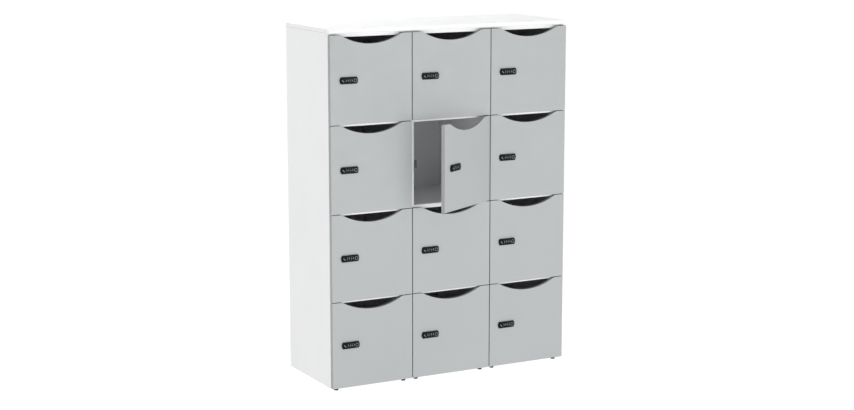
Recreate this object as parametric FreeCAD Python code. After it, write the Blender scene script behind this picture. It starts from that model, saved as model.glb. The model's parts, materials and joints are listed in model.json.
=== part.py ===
"""Bank of compartment lockers with hinged doors, combination locks and levelling feet.

Millimetres. +Z is up, the doors face -Y, and +X is to the right of someone who faces the doors.
The origin lies on the floor, under the middle of the part's box. Rows count down from the top
and columns count from the left.
"""
import FreeCAD
import Part
import math
import os

Vector = FreeCAD.Vector

# Arrangement, and the one door that stands ajar
column_count = 3
row_count = 4
ajar_column = 2
ajar_row = 2
ajar_degrees = 30.0

# Boards of the carcass
column_width = 400.0
carcass_depth = 437.0
side_thickness = 18.0
bottom_thickness = 18.0
shelf_thickness = 18.0
sub_top_thickness = 18.0
top_thickness = 18.0
back_thickness = 8.0
board_edge_radius = 0.8

# Doors and the gaps above and below them
door_height = 389.0
door_thickness = 18.0
door_edge_radius = 1.0
row_gap = 3.0
bottom_reveal = 1.0
top_reveal = 8.0

# Scoop in the top edge of a door: a shallow bowl that runs out over two crests
scoop_depth = 41.0
scoop_radius = 290.0
scoop_crest_radius = 40.0

# Hinge pins and the swing of the doors about them
hinge_from_end = 75.0
pin_from_edge = 8.0
pin_from_front = 7.4
pin_radius = 1.5
pin_clearance = 0.05
swing_clearance = 0.3
neighbour_clearance = 1.1

# Hinge cups, pressed into the backs of the doors
cup_radius = 17.5
cup_wall = 1.0
cup_fit = 0.05
lug_depth = 4.0
flange_thickness = 1.0
flange_lip = 1.2
ear_width = 16.0
ear_reach = 31.0
peg_radius = 4.0
peg_length = 10.0
peg_spacing = 48.0

# Hinge arms
arm_height = 12.0
arm_thickness = 3.0
arm_side_room = 0.4
knuckle_wall = 1.35
knuckle_room = 0.5
leg_clearance = 1.4

# Mounting plates of the hinge arms
plate_from_front = 37.0
plate_length = 44.0
wing_length = 12.0
wing_reach = 23.0
wing_thickness = 2.5
wing_screw_spacing = 32.0
arm_screw_back = 12.0

# Lock case and the body behind it that passes through the door
lock_from_edge = 87.0
lock_below_top = 196.5
case_width = 86.0
case_height = 30.0
case_proud = 6.0
case_end_bulge = 5.0
case_corner_radius = 2.0
case_front_radius = 1.5
body_width = 77.0
body_height = 22.0
body_clearance = 0.5
clamp_thickness = 2.0

# Number wheels
wheel_count = 4
wheel_radius = 9.0
wheel_width = 6.9
wheel_pitch = 9.5
wheel_proud = 1.6
wheel_room = 0.4
wheel_side_room = 0.3
flute_count = 10
flute_radius = 1.2
flute_depth = 0.6
axle_radius = 1.5
axle_clearance = 0.05
axle_engagement = 2.5
axle_end_room = 0.2

# Master key cylinder
key_offset = 29.5
key_radius = 8.5
key_proud = 0.8
key_length = 13.0
key_clearance = 0.05
key_dish_radius = 4.5
key_dish_depth = 0.8
keyway_width = 1.6
keyway_height = 6.4
keyway_depth = 5.0

# Lock knob, spindle and cam
knob_offset = 32.0
knob_radius = 10.5
knob_room = 0.3
knob_flange = 2.0
knob_edge_radius = 0.8
grip_width = 5.5
grip_length = 17.0
grip_height = 3.0
grip_degrees = 45.0
spindle_radius = 4.0
spindle_clearance = 0.05
spindle_end_radius = 3.0
cam_fit = 0.02
cam_width = 12.0
cam_thickness = 2.5
cam_room = 2.0
cam_tip_room = 2.0
cam_screw_radius = 5.0
cam_screw_height = 2.5

# Lock keepers on the left side panels
keeper_height = 36.0
keeper_reach = 15.0
keeper_thickness = 2.0
keeper_length = 24.0
keeper_setback = 1.0
keeper_screw_back = 16.0
keeper_screw_spacing = 20.0

# Screws, with their heads
screw_radius = 1.75
screw_length = 14.0
screw_head_radius = 3.5
screw_head_height = 1.6
screw_clearance = 0.05
top_screw_length = 30.0
top_screw_from_side = 80.0
top_screw_from_end = 100.0

# Bolts that join the columns
bolt_radius = 4.0
bolt_head_radius = 7.0
bolt_head_height = 1.5
bolt_from_front = 120.0

# Dowels between the boards
dowel_radius = 4.0
dowel_length = 30.0
dowel_in_side = 12.0
dowel_clearance = 0.05
dowel_end_room = 0.5
dowel_from_end = 60.0

# Levelling feet
foot_height = 13.0
foot_radius = 10.0
foot_top_radius = 9.0
foot_stud_radius = 4.0
foot_stud_length = 15.0
foot_stud_clearance = 0.1
foot_from_side = 32.0
foot_from_end = 12.0

# How far a cut runs past the face that it opens
overrun = 5.0

# The gaps that the swing of a door needs
front_sweep = math.hypot(pin_from_edge, pin_from_front)
rear_sweep = math.hypot(pin_from_edge, door_thickness - pin_from_front)
column_gap = front_sweep - pin_from_edge + neighbour_clearance
carcass_front = pin_from_front + rear_sweep + swing_clearance

# Levels and depths, with the door fronts at y = 0 and the floor at z = 0
door_width = column_width - column_gap
row_pitch = door_height + row_gap
total_width = column_count * column_width
total_depth = carcass_front + carcass_depth
back_front = total_depth - back_thickness
carcass_top = foot_height + bottom_reveal + row_count * row_pitch - row_gap + top_reveal
total_height = carcass_top + top_thickness

# Reach of the ajar door's rounded corner in front of the other doors, and the middle of the box
ajar_turn = math.radians(ajar_degrees)
ajar_swing = (door_width - pin_from_edge - door_edge_radius) * math.sin(ajar_turn)
ajar_lead = (pin_from_front - door_edge_radius) * math.cos(ajar_turn)
ajar_reach = ajar_swing + ajar_lead + door_edge_radius - pin_from_front
middle_depth = (total_depth - ajar_reach) / 2

# Hinge places on a closed door, from its lower left front corner
pin_x = door_width - pin_from_edge
knuckle_radius = pin_radius + pin_clearance + knuckle_wall
arm_slot_half = arm_height / 2 + arm_side_room
cavity_radius = cup_radius - cup_wall
cavity_reach = math.sqrt(cavity_radius ** 2 - arm_slot_half ** 2)
cup_x = pin_x + knuckle_radius + knuckle_room - cavity_reach
cup_floor = pin_from_front - knuckle_radius - knuckle_room - cup_wall
leg_x = pin_x - (door_thickness + flange_thickness - pin_from_front) - leg_clearance
right_inner_x = door_width + column_gap / 2 - side_thickness
left_inner_x = side_thickness - column_gap / 2
plate_middle = carcass_front + plate_from_front
hinge_heights = (hinge_from_end, door_height - hinge_from_end)

# Lock places on a closed door
lock_x = lock_from_edge
lock_z = door_height - lock_below_top
knob_x = lock_x - knob_offset
key_x = lock_x + key_offset
keeper_front = carcass_front + keeper_setback
body_rear = keeper_front + keeper_thickness
cam_front = body_rear + cam_room
cam_rear = cam_front + cam_thickness
cam_length = knob_x - left_inner_x - keeper_thickness - cam_tip_room
knob_back = -case_proud - knob_room
slot_width = wheel_width + 2 * wheel_side_room
wheel_axis_y = wheel_radius - wheel_proud - case_proud
wheel_places = [lock_x + wheel_pitch * (i - (wheel_count - 1) / 2) for i in range(wheel_count)]


def block(low, high):
    """Box between two opposite corners."""
    size = high - low
    return Part.makeBox(size.x, size.y, size.z, low)


def rod(radius, start, along):
    """Cylinder that starts at a point and runs along a vector, for the vector's length."""
    return Part.makeCylinder(radius, along.Length, start, along)


def soften(shape, radius, chosen):
    """Round the edges of a shape that a test picks out."""
    return shape.makeFillet(radius, [edge for edge in shape.Edges if chosen(edge.BoundBox)])


def soften_front(board):
    """Round the edges of a board's front face."""
    front = board.BoundBox.YMin
    return soften(board, board_edge_radius, lambda box: box.YMax < front + board_edge_radius)


def screw(seat, way, length):
    """Pan-head screw whose head sits on a point and whose shank runs along a unit vector."""
    shank = rod(screw_radius, seat, way * length)
    head = rod(screw_head_radius, seat, way * -screw_head_height)
    return shank.fuse(head).removeSplitter()


def screw_hole(seat, way, length):
    """Hole for a screw, from just over its seat to its tip."""
    start = seat - way * overrun
    return rod(screw_radius + screw_clearance, start, way * (length + overrun))


def door_bottom(row):
    """Height of the bottom edge of the doors in a row."""
    return foot_height + bottom_reveal + (row_count - row) * row_pitch


def column_left(column):
    """Left limit of a column, from the middle of the part."""
    return (column - 1) * column_width - total_width / 2


def column_place(column):
    """Placement of a column's own boards and fasteners."""
    return FreeCAD.Placement(Vector(column_left(column), -middle_depth, 0), FreeCAD.Rotation())


def closed_place(column, row):
    """Placement of what is made in the frame of a closed door."""
    corner = Vector(column_left(column) + column_gap / 2, -middle_depth, door_bottom(row))
    return FreeCAD.Placement(corner, FreeCAD.Rotation())


def door_place(column, row):
    """Placement of a door and what it carries, with the ajar one turned on its pins."""
    place = closed_place(column, row)
    if (column, row) != (ajar_column, ajar_row):
        return place
    turn = FreeCAD.Rotation(Vector(0, 0, 1), ajar_degrees)
    return place.multiply(FreeCAD.Placement(Vector(), turn, Vector(pin_x, pin_from_front, 0)))


def placed(shapes, place):
    """Copies of shapes, moved to a place."""
    copies = [shape.copy() for shape in shapes]
    for copy in copies:
        copy.Placement = place.multiply(copy.Placement)
    return copies


def save(name, shapes):
    """Write one node, of one solid or a group of separate solids."""
    whole = shapes[0] if len(shapes) == 1 else Part.makeCompound(shapes)
    whole.exportStep(os.path.join("parts", name + ".step"))


def door_outline():
    """Front outline of a door, with the scoop as three arcs that run into each other."""
    middle = door_width / 2
    span = scoop_radius + scoop_crest_radius
    reach = math.sqrt(span ** 2 - (span - scoop_depth) ** 2)
    lean = math.asin(reach / span)
    crests = {}
    for side in (-1, 1):
        crest_middle = Vector(middle + side * reach, 0, door_height - scoop_crest_radius)
        half_way = Vector(-side * math.sin(lean / 2), 0, math.cos(lean / 2))
        inward = Vector(-side * math.sin(lean), 0, math.cos(lean))
        crests[side] = (
            crest_middle + Vector(0, 0, scoop_crest_radius),
            crest_middle + half_way * scoop_crest_radius,
            crest_middle + inward * scoop_crest_radius,
        )
    bowl_floor = Vector(middle, 0, door_height - scoop_depth)
    corners = [
        Vector(0, 0, door_height),
        Vector(0, 0, 0),
        Vector(door_width, 0, 0),
        Vector(door_width, 0, door_height),
    ]
    left_top, left_half, left_join = crests[-1]
    right_top, right_half, right_join = crests[1]
    runs = [left_top] + corners + [right_top]
    edges = [Part.LineSegment(a, b).toShape() for a, b in zip(runs, runs[1:])]
    edges.append(Part.Arc(right_top, right_half, right_join).toShape())
    edges.append(Part.Arc(right_join, bowl_floor, left_join).toShape())
    edges.append(Part.Arc(left_join, left_half, left_top).toShape())
    return Part.Wire(edges)


def hinge_pegs(height, radius):
    """Pegs that hold a hinge cup's ears, or the holes for them at a larger radius."""
    pegs = []
    for side in (-1, 1):
        start = Vector(cup_x, door_thickness, height + side * peg_spacing / 2)
        pegs.append(rod(radius, start, Vector(0, -peg_length, 0)))
    return pegs


def lock_body(clearance):
    """Part of the lock that passes through the door, or its opening with a clearance."""
    half = Vector(body_width / 2 + clearance, 0, body_height / 2 + clearance)
    middle = Vector(lock_x, 0, lock_z)
    return block(middle - half, middle + half + Vector(0, body_rear, 0))


def make_door():
    """Door slab with its scoop, hinge pockets and lock opening."""
    slab = Part.Face(door_outline()).extrude(Vector(0, door_thickness, 0))
    slab = soften(slab, door_edge_radius, lambda box: box.YLength < door_thickness / 2)
    cuts = [lock_body(body_clearance)]
    for height in hinge_heights:
        floor = Vector(cup_x, cup_floor, height)
        cuts.append(rod(cup_radius + cup_fit, floor, Vector(0, door_thickness - cup_floor + overrun, 0)))
        cuts += hinge_pegs(height, peg_radius + cup_fit)
    return slab.cut(cuts)


def make_hinge_pin(height):
    """Pin that runs through a cup's two lugs and the knuckle between them."""
    half = arm_slot_half + lug_depth
    return rod(pin_radius, Vector(pin_x, pin_from_front, height - half), Vector(0, 0, 2 * half))


def make_hinge_cup(height):
    """Hinge cup with a flange, two pegged ears and two lugs that carry the pin."""
    floor = Vector(cup_x, cup_floor, height)
    rim = Vector(cup_x, door_thickness, height)
    ear_half = Vector(ear_width / 2, 0, ear_reach)
    flange = Vector(0, flange_thickness, 0)
    cup = rod(cup_radius, floor, rim - floor)
    cup = cup.fuse([rod(cup_radius + flange_lip, rim, flange)] + hinge_pegs(height, peg_radius))
    cup = cup.fuse(block(rim - ear_half, rim + ear_half + flange))
    cavity = rod(cavity_radius, floor + Vector(0, cup_wall, 0), rim - floor + flange)
    for low, high in ((-cup_radius, -arm_slot_half), (arm_slot_half, cup_radius)):
        near = Vector(pin_x - knuckle_radius, cup_floor, height + low)
        far = Vector(pin_x + cup_radius, pin_from_front + knuckle_radius, height + high)
        cavity = cavity.cut(block(near, far))
    return cup.cut([cavity, make_hinge_pin(height)]).removeSplitter()


def arm_screw_seat(height):
    """Place of the screw head that holds an arm on its plate."""
    return Vector(leg_x - arm_thickness, plate_middle + arm_screw_back, height)


def wing_screw_seats(height):
    """Places of the two screw heads on a plate's wings."""
    face = Vector(right_inner_x - wing_thickness, plate_middle, height)
    return [face + Vector(0, 0, side * wing_screw_spacing / 2) for side in (-1, 1)]


def make_hinge_arm(height):
    """Cranked arm: knuckle on the pin, a bar across the cup and a leg back to the plate."""
    low = height - arm_height / 2
    knuckle = rod(knuckle_radius, Vector(pin_x, pin_from_front, low), Vector(0, 0, arm_height))
    elbow = Vector(leg_x - arm_thickness, pin_from_front - arm_thickness / 2, low)
    bar = block(elbow, Vector(pin_x, pin_from_front + arm_thickness / 2, low + arm_height))
    leg = block(elbow, Vector(leg_x, plate_middle + plate_length / 2, low + arm_height))
    start = Vector(pin_x, pin_from_front, low - overrun)
    bore = rod(pin_radius + pin_clearance, start, Vector(0, 0, arm_height + 2 * overrun))
    hole = screw_hole(arm_screw_seat(height), Vector(1, 0, 0), arm_thickness + overrun)
    return knuckle.fuse([bar, leg]).cut([bore, hole]).removeSplitter()


def make_hinge_plate(height):
    """Mounting plate: a rail under the arm and two screwed wings against the side panel."""
    rail_half = Vector(0, plate_length / 2, arm_height / 2)
    wing_half = Vector(0, wing_length / 2, wing_reach)
    inner = Vector(right_inner_x, plate_middle, height)
    outer = Vector(leg_x, plate_middle, height)
    rail = block(outer - rail_half, inner + rail_half)
    wings = block(inner - Vector(wing_thickness, 0, 0) - wing_half, inner + wing_half)
    cuts = [screw_hole(arm_screw_seat(height), Vector(1, 0, 0), right_inner_x - leg_x + arm_thickness)]
    cuts += [screw_hole(seat, Vector(1, 0, 0), screw_length) for seat in wing_screw_seats(height)]
    return rail.fuse(wings).cut(cuts).removeSplitter()


def wheel_axle(radius, end_room):
    """Axle through the number wheels, or its bore with a larger radius and room at the ends."""
    end = slot_width / 2 + axle_engagement + end_room
    start = Vector(wheel_places[0] - end, wheel_axis_y, lock_z)
    return rod(radius, start, Vector(wheel_places[-1] - wheel_places[0] + 2 * end, 0, 0))


def case_outline():
    """Closed outline of the lock case on the door: level edges and convex ends."""
    middle = Vector(lock_x, 0, lock_z)
    end = Vector(case_width / 2, 0, 0)
    across = Vector(case_width / 2 - case_end_bulge, 0, 0)
    up = Vector(0, 0, case_height / 2)
    sides = [
        Part.makeLine(middle - across - up, middle + across - up),
        Part.Arc(middle + across - up, middle + end, middle + across + up).toShape(),
        Part.makeLine(middle + across + up, middle - across + up),
        Part.Arc(middle - across + up, middle - end, middle - across - up).toShape(),
    ]
    return Part.Wire(sides)


def make_lock_case():
    """Lock case and through-body, with wheel slots, axle bore, spindle bore and key bore."""
    case = Part.Face(case_outline()).extrude(Vector(0, -case_proud, 0))
    case = soften(case, case_corner_radius, lambda box: box.YLength > case_proud / 2)
    case = soften(case, case_front_radius, lambda box: box.YMax < -case_proud / 2)
    cuts = [wheel_axle(axle_radius + axle_clearance, axle_end_room)]
    for place in wheel_places:
        start = Vector(place - slot_width / 2, wheel_axis_y, lock_z)
        cuts.append(rod(wheel_radius + wheel_room, start, Vector(slot_width, 0, 0)))
    knob_start = Vector(knob_x, -case_proud - overrun, lock_z)
    through = Vector(0, case_proud + body_rear + 2 * overrun, 0)
    cuts.append(rod(spindle_radius + spindle_clearance, knob_start, through))
    key_start = Vector(key_x, -case_proud - overrun, lock_z)
    cuts.append(rod(key_radius + key_clearance, key_start, Vector(0, key_length - key_proud + overrun, 0)))
    return case.fuse(lock_body(0)).cut(cuts).removeSplitter()


def make_clamp_plate():
    """Plate behind the door that clamps the lock case, with an opening for the body."""
    half = Vector(case_width / 2, 0, case_height / 2)
    middle = Vector(lock_x, door_thickness, lock_z)
    plate = block(middle - half, middle + half + Vector(0, clamp_thickness, 0))
    return plate.cut(lock_body(key_clearance))


def make_key_cylinder():
    """Master key cylinder with a dished face and a keyway."""
    face = Vector(key_x, -case_proud - key_proud, lock_z)
    cylinder = rod(key_radius, face, Vector(0, key_length, 0))
    dish = rod(key_dish_radius, face, Vector(0, key_dish_depth, 0))
    half = Vector(keyway_width / 2, 0, keyway_height / 2)
    keyway = block(face - half, face + half + Vector(0, keyway_depth, 0))
    return cylinder.cut([dish, keyway])


def make_knob():
    """Round knob with a grip bar, and the spindle that passes through the lock."""
    seat = Vector(knob_x, knob_back, lock_z)
    flange = rod(knob_radius, seat, Vector(0, -knob_flange, 0))
    half = Vector(grip_width / 2, 0, grip_length / 2)
    grip = block(seat - half - Vector(0, knob_flange + grip_height, 0), seat + half)
    grip.rotate(seat, Vector(0, 1, 0), -grip_degrees)
    knob = flange.fuse(grip).removeSplitter()
    front = knob_back - knob_flange
    knob = soften(knob, knob_edge_radius, lambda box: box.YMax < front - grip_height / 2)
    shoulder = Vector(knob_x, cam_front, lock_z)
    spindle = rod(spindle_radius, seat, shoulder - seat)
    end = rod(spindle_end_radius, shoulder, Vector(0, cam_thickness, 0))
    return knob.fuse([spindle, end]).removeSplitter()


def make_cam():
    """Cam on the end of the spindle, hanging down when the lock is open."""
    centre = Vector(knob_x, cam_front, lock_z)
    through = Vector(0, cam_thickness, 0)
    half = Vector(cam_width / 2, 0, 0)
    plate = block(centre - half - Vector(0, 0, cam_length), centre + half + through)
    plate = plate.fuse(rod(cam_width / 2, centre, through))
    return plate.cut(rod(spindle_end_radius + cam_fit, centre, through)).removeSplitter()


def make_cam_screw():
    """Screw head that holds the cam on the spindle."""
    return rod(cam_screw_radius, Vector(knob_x, cam_rear, lock_z), Vector(0, cam_screw_height, 0))


def make_wheel(place):
    """Number wheel with a flute between every two numbers."""
    start = Vector(place - wheel_width / 2, wheel_axis_y, lock_z)
    across = Vector(wheel_width, 0, 0)
    cuts = [rod(axle_radius + axle_clearance, start, across)]
    for i in range(flute_count):
        angle = 2 * math.pi * (i + 1 / 2) / flute_count
        out = Vector(0, -math.cos(angle), math.sin(angle)) * (wheel_radius + flute_radius - flute_depth)
        cuts.append(rod(flute_radius, start + out, across))
    return rod(wheel_radius, start, across).cut(cuts)


def keeper_screw_seats():
    """Places of the two screw heads on a lock keeper."""
    face = Vector(left_inner_x + keeper_thickness, keeper_front + keeper_screw_back, lock_z)
    return [face + Vector(0, 0, side * keeper_screw_spacing / 2) for side in (-1, 1)]


def make_keeper():
    """Angle bracket on the side panel, whose lip stands in front of the locked cam."""
    corner = Vector(left_inner_x, keeper_front, lock_z - keeper_height / 2)
    lip = block(corner, corner + Vector(keeper_reach, keeper_thickness, keeper_height))
    base = block(corner, corner + Vector(keeper_thickness, keeper_length, keeper_height))
    holes = [screw_hole(seat, Vector(-1, 0, 0), screw_length) for seat in keeper_screw_seats()]
    return base.fuse(lip).cut(holes).removeSplitter()


def shelf_middles():
    """Heights of the middles of a column's cross boards: bottom, shelves and sub-top."""
    shelves = [door_bottom(row) - row_gap / 2 for row in range(1, row_count)]
    ends = [foot_height + bottom_thickness / 2, carcass_top - sub_top_thickness / 2]
    return ends + shelves


def dowels(radius, end_room):
    """Dowels of one column, or their holes with a larger radius and room at the ends."""
    made = []
    along = Vector(dowel_length + 2 * end_room, 0, 0)
    left = side_thickness - dowel_in_side - end_room
    right = column_width - left - along.x
    for height in shelf_middles():
        for depth in (carcass_front + dowel_from_end, back_front - dowel_from_end):
            made += [rod(radius, Vector(start, depth, height), along) for start in (left, right)]
    return made


def corner_places(from_side, from_end, height):
    """Four places in a column, set in from its sides and from the ends of its boards."""
    return [
        Vector(x, y, height)
        for x in (from_side, column_width - from_side)
        for y in (carcass_front + from_end, back_front - from_end)
    ]


def top_screw_seats():
    """Places of the screw heads under a column's sub-top."""
    height = carcass_top - sub_top_thickness
    return corner_places(top_screw_from_side, top_screw_from_end, height)


def make_foot(place):
    """Levelling foot: a tapered pad on the floor and a stud up into the bottom panel."""
    pad = Part.makeCone(foot_radius, foot_top_radius, foot_height, place)
    stud = rod(foot_stud_radius, place, Vector(0, 0, foot_height + foot_stud_length))
    return pad.fuse(stud).removeSplitter()


def column_fasteners():
    """Screws of one column's hinge plates, arms, keepers and top, and the holes for them."""
    runs = []
    for row in range(1, row_count + 1):
        lift = Vector(column_gap / 2, 0, door_bottom(row))
        for height in hinge_heights:
            runs += [(seat + lift, Vector(1, 0, 0), screw_length) for seat in wing_screw_seats(height)]
            plate_depth = right_inner_x - leg_x + arm_thickness
            runs.append((arm_screw_seat(height) + lift, Vector(1, 0, 0), plate_depth))
        runs += [(seat + lift, Vector(-1, 0, 0), screw_length) for seat in keeper_screw_seats()]
    runs += [(seat, Vector(0, 0, 1), top_screw_length) for seat in top_screw_seats()]
    return [screw(*run) for run in runs], [screw_hole(*run) for run in runs]


def joint_bolts(radius, head):
    """Bolts from one column into the next, or their holes, at the right side of a column."""
    made = []
    span = Vector(2 * side_thickness, 0, 0)
    for row in (1, row_count):
        height = door_bottom(row) + door_height / 2
        start = Vector(column_width - side_thickness, carcass_front + bolt_from_front, height)
        bolt = rod(radius, start, span)
        if head:
            out = Vector(bolt_head_height, 0, 0)
            bolt = bolt.fuse([rod(bolt_head_radius, start - out, out), rod(bolt_head_radius, start + span, out)])
        made.append(bolt.removeSplitter())
    return made


def cut_where_met(board, cutters):
    """Cut a board by those of the cutters that reach it."""
    met = [cutter for cutter in cutters if board.BoundBox.intersect(cutter.BoundBox)]
    return board.cut(met) if met else board


def cross_board(low, thickness):
    """Board between a column's sides, in front of its back panel."""
    corner = Vector(side_thickness, carcass_front, low)
    size = Vector(column_width - 2 * side_thickness, back_front - carcass_front, thickness)
    return soften_front(block(corner, corner + size))


def side_board(left):
    """Side panel of a column, the whole height of the carcass."""
    low = Vector(left, carcass_front, foot_height)
    return soften_front(block(low, Vector(left + side_thickness, total_depth, carcass_top)))


def make_column():
    """Boards of one column, in groups by name."""
    back_low = Vector(side_thickness, back_front, foot_height)
    back_high = Vector(column_width - side_thickness, total_depth, carcass_top)
    shelf_lows = [door_bottom(row) - row_gap / 2 - shelf_thickness / 2 for row in range(1, row_count)]
    return {
        "side_panels": [side_board(0), side_board(column_width - side_thickness)],
        "bottom_panels": [cross_board(foot_height, bottom_thickness)],
        "sub_tops": [cross_board(carcass_top - sub_top_thickness, sub_top_thickness)],
        "shelves": [cross_board(low, shelf_thickness) for low in shelf_lows],
        "back_panels": [block(back_low, back_high)],
    }


def make_top_panel(cutters):
    """Top panel over all the columns, flush with the door fronts."""
    low = Vector(-total_width / 2, -middle_depth, carcass_top)
    high = Vector(total_width / 2, total_depth - middle_depth, total_height)
    panel = soften(block(low, high), board_edge_radius, lambda box: True)
    return cut_where_met(panel, cutters)


def save_carcass():
    """Make and write the boards, feet, dowels, screws and bolts of all columns."""
    boards = make_column()
    screws, holes = column_fasteners()
    feet_places = corner_places(foot_from_side, foot_from_end, 0)
    stud_depth = Vector(0, 0, foot_height + foot_stud_length + foot_stud_clearance)
    stud_holes = [rod(foot_stud_radius + foot_stud_clearance, place, stud_depth) for place in feet_places]
    cutters = holes + stud_holes + dowels(dowel_radius + dowel_clearance, dowel_end_room)
    boards = {name: [cut_where_met(board, cutters) for board in group] for name, group in boards.items()}
    boards["dowels"] = dowels(dowel_radius, 0)
    boards["levelling_feet"] = [make_foot(place) for place in feet_places]
    boards["fixing_screws"] = screws
    groups = {name: [] for name in boards}
    top_holes = []
    bolt_holes = []
    for column in range(1, column_count + 1):
        place = column_place(column)
        for name, group in boards.items():
            groups[name] += placed(group, place)
        top_holes += placed(holes, place)
        if column < column_count:
            groups["fixing_screws"] += placed(joint_bolts(bolt_radius, True), place)
            bolt_holes += placed(joint_bolts(bolt_radius + screw_clearance, False), place)
    groups["side_panels"] = [cut_where_met(side, bolt_holes) for side in groups["side_panels"]]
    groups["top_panel"] = [make_top_panel(top_holes)]
    for name, group in groups.items():
        save(name, group)


def save_compartments():
    """Make and write the doors, locks, hinges and keepers of all compartments."""
    on_doors = {
        "door": [make_door()],
        "door_fittings": [make_hinge_cup(height) for height in hinge_heights]
        + [make_hinge_pin(height) for height in hinge_heights]
        + [make_lock_case(), make_clamp_plate(), make_key_cylinder()],
        "lock_knob": [make_knob(), make_cam(), make_cam_screw()],
        "code_wheels": [wheel_axle(axle_radius, 0)] + [make_wheel(place) for place in wheel_places],
    }
    on_carcass = {
        "hinge_arms": [make_hinge_arm(height) for height in hinge_heights],
        "hinge_plates": [make_hinge_plate(height) for height in hinge_heights],
        "lock_keepers": [make_keeper()],
    }
    groups = {name: [] for name in on_carcass}
    for column in range(1, column_count + 1):
        for row in range(1, row_count + 1):
            for name, shapes in on_doors.items():
                save(f"{name}_r{row}_c{column}", placed(shapes, door_place(column, row)))
            for name, shapes in on_carcass.items():
                groups[name] += placed(shapes, closed_place(column, row))
    for name, group in groups.items():
        save(name, group)


os.makedirs("parts", exist_ok=True)
save_carcass()
save_compartments()
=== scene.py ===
"""Looks of a bank of compartment lockers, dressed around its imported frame.

Metres. +Z is up and the doors face -Y. Rows count down from the top and columns from the left.
A lock is modelled once in its own frame: its origin is the middle of the number wheels' axle,
+X runs along the axle, +Y into the door and +Z up. It is then copied to every door.
"""
import json
import logging
import math
from contextlib import contextmanager
from dataclasses import dataclass, field
from enum import Enum
from typing import Callable, Iterator

import bpy
from mathutils import Matrix, Vector

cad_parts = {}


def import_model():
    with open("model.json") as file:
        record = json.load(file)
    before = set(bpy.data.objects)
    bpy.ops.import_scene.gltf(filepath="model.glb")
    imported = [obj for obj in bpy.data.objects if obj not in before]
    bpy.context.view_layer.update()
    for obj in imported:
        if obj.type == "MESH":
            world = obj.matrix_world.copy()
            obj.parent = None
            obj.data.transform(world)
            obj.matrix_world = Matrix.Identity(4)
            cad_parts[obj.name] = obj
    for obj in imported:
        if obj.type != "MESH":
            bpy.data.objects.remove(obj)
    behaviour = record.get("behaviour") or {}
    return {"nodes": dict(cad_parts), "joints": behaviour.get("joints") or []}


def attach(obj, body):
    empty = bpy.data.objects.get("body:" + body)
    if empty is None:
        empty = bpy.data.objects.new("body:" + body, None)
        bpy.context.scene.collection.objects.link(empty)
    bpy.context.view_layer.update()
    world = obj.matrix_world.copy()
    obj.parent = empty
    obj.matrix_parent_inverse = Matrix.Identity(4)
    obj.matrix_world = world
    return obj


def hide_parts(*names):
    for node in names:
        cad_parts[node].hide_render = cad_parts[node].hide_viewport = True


LOG = logging.getLogger("locker")
Piece = bpy.types.Object
Colour = tuple[float, float, float]
Place = tuple[float, float, float]
Paint = Colour | bpy.types.NodeSocket
Test = Callable[[Vector, Vector], bool]

UP = Vector((0.0, 0.0, 1.0))
ALONG_X = Vector((1.0, 0.0, 0.0))
ALONG_Y = Vector((0.0, 1.0, 0.0))
SAME_WAY = 0.9
WHOLE_TURN = 2 * math.pi
OVERRUN = 0.002
HAIR = 0.00001
SHARP_ANGLE = math.radians(35)
SMOOTH_ANGLE = math.radians(40)
FINE_SMOOTH_ANGLE = math.radians(30)
FLAT_ANGLE = math.radians(0.1)
WHITE = (1.0, 1.0, 1.0, 1.0)


class Pick(Enum):
    """What an edit works on, as Blender's select mode."""

    EDGES = (False, True, False)
    FACES = (False, False, True)


class Cut(Enum):
    """How a boolean joins two shapes."""

    AWAY = "DIFFERENCE"
    ONTO = "UNION"


# Modelling by hand


def lay_down() -> None:
    """Deselect every object."""
    bpy.ops.object.select_all(action="DESELECT")


def take_up(piece: Piece) -> None:
    """Make a piece the only selected object and the active one."""
    lay_down()
    piece.select_set(True)
    bpy.context.view_layer.objects.active = piece


def settle(piece: Piece) -> Piece:
    """Move a piece's place, turn and scale into its mesh.

    Args:
        piece: The piece, as it stands.

    Returns:
        The same piece, at the origin, unturned and unscaled.
    """
    take_up(piece)
    bpy.ops.object.transform_apply(location=True, rotation=True, scale=True)
    return piece


def block(name: str, low: Vector, high: Vector) -> Piece:
    """Add a block between two opposite corners.

    Args:
        name: Name of the new piece.
        low: Lowest corner.
        high: Highest corner.

    Returns:
        The new piece.
    """
    lay_down()
    bpy.ops.mesh.primitive_cube_add(size=1.0, location=(low + high) / 2)
    piece = bpy.context.object
    piece.name = name
    piece.scale = high - low
    return settle(piece)


def upright(name: str, place: float, width: float, height: float, front: float, rear: float) -> Piece:
    """Add a block that faces the front, at half its height on the level of the origin.

    Args:
        name: Name of the new piece.
        place: Its middle along X.
        width: Its size along X.
        height: Its size along Z.
        front: Depth of its front.
        rear: Depth of its rear.

    Returns:
        The new piece.
    """
    low = Vector((place - width / 2, front, -height / 2))
    return block(name, low, Vector((place + width / 2, rear, height / 2)))


def rod(name: str, radius: float, start: Vector, along: Vector, sides: int) -> Piece:
    """Add a round bar that starts at a point and runs along a vector.

    Args:
        name: Name of the new piece.
        radius: Radius of the bar.
        start: Middle of the first end.
        along: Vector from the first end to the other.
        sides: Number of flats round the bar.

    Returns:
        The new piece.
    """
    lay_down()
    bpy.ops.mesh.primitive_cylinder_add(
        vertices=sides,
        radius=radius,
        depth=along.length,
        location=start + along / 2,
        rotation=along.to_track_quat("Z", "Y").to_euler(),
    )
    piece = bpy.context.object
    piece.name = name
    return settle(piece)


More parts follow.
